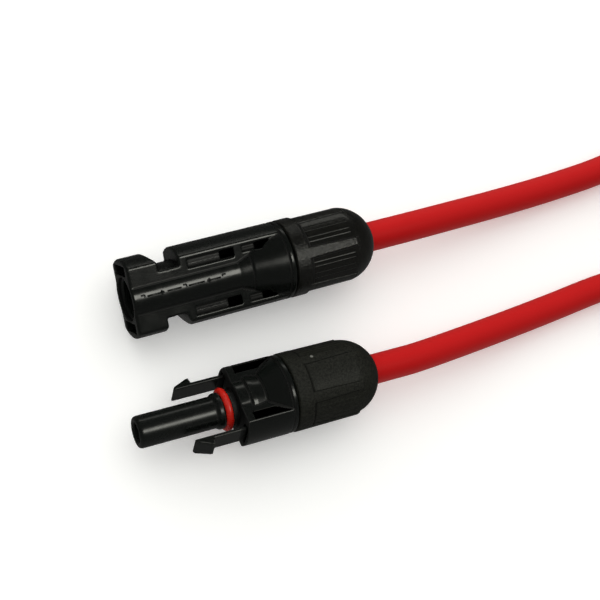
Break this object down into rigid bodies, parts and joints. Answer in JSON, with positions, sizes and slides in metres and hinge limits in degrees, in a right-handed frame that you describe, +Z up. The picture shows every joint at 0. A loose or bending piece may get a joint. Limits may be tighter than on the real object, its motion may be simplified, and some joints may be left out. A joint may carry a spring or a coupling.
{
  "type": "solar cable connector",
  "caption": "Short extension lead with a pin coupler and a latching socket plug in sealed screw glands, joined by one coiled double-insulated cable",
  "frame": {"origin": "centre of the bottom of the box round the two connectors, on the surface that they lie on", "axes": "+X along the male connector from its mouth towards the cable, +Y from the female connector to the male one, +Z up"},
  "size_m": [0.2493, 0.091, 0.018],
  "materials": {
    "housing_black": "injection moulded glass-filled nylon, semi-gloss with matte grained flats",
    "nut_black": "moulded nylon with a fine spark-eroded grain on lands and collar",
    "latch_black": "moulded nylon, semi-gloss",
    "cage_black": "moulded nylon",
    "seal_red": "moulded silicone rubber, satin",
    "seal_grey": "moulded silicone rubber",
    "contact_tin": "machined copper with bright tin plating",
    "spring_steel": "stamped stainless spring sheet",
    "wire_tin": "tinned stranded copper",
    "insulation_white": "cross-linked polyolefin",
    "cable_red": "extruded cross-linked sheath, satin",
    "tie_black": "woven strap"
  },
  "bodies": {
    "root": {"male_housing": "housing_black", "male_pin_contact": "contact_tin", "male_retaining_clip": "spring_steel", "male_conductor": "wire_tin", "male_core_insulation": "insulation_white", "male_wire_seal": "seal_grey", "female_housing": "housing_black", "probe_ring_seal": "seal_red", "female_socket_contact": "contact_tin", "socket_spring": "spring_steel", "female_retaining_clip": "spring_steel", "female_conductor": "wire_tin", "female_core_insulation": "insulation_white", "female_wire_seal": "seal_grey", "cable_run_male": "cable_red", "cable_run_female": "cable_red", "cable_coil": "cable_red", "cable_ties": "tie_black"},
    "male_cage": {"male_clamp_cage": "cage_black"},
    "male_nut": {"male_cap_nut": "nut_black"},
    "female_cage": {"female_clamp_cage": "cage_black"},
    "female_nut": {"female_cap_nut": "nut_black"},
    "latch_upper": {"latch_arm_upper": "latch_black"},
    "latch_lower": {"latch_arm_lower": "latch_black"}
  },
  "joints": [
    {"name": "male_cage_slide", "type": "slide", "parent": "root", "child": "male_cage", "axis": [1, 0, 0], "range_m": [0, 0.0075]},
    {"name": "male_nut_turn", "type": "hinge", "parent": "male_cage", "child": "male_nut", "pos_m": [0.01072, 0.0148, 0.009], "axis": [1, 0, 0], "range_deg": [0, 1801]},
    {"name": "female_cage_slide", "type": "slide", "parent": "root", "child": "female_cage", "axis": [0.9996, -0.0279, 0], "range_m": [0, 0.0075]},
    {"name": "female_nut_turn", "type": "hinge", "parent": "female_cage", "child": "female_nut", "pos_m": [0.00183, -0.01439, 0.009], "axis": [0.9996, -0.0279, 0], "range_deg": [0, 1801]},
    {"name": "latch_upper_flex", "type": "hinge", "parent": "root", "child": "latch_upper", "pos_m": [-0.00515, -0.00803, 0.00596], "axis": [0.0123, 0.4413, 0.8973], "range_deg": [0, 4.5], "stiffness_Nm_per_rad": 0.05},
    {"name": "latch_lower_flex", "type": "hinge", "parent": "root", "child": "latch_lower", "pos_m": [-0.00549, -0.02036, 0.01204], "axis": [-0.0123, -0.4413, -0.8973], "range_deg": [0, 4.5], "stiffness_Nm_per_rad": 0.05}
  ],
  "couplings": [
    {"joint": "male_nut_turn", "follows": "male_cage_slide", "rad_per_m": 4188.8},
    {"joint": "female_nut_turn", "follows": "female_cage_slide", "rad_per_m": 4188.8}
  ]
}
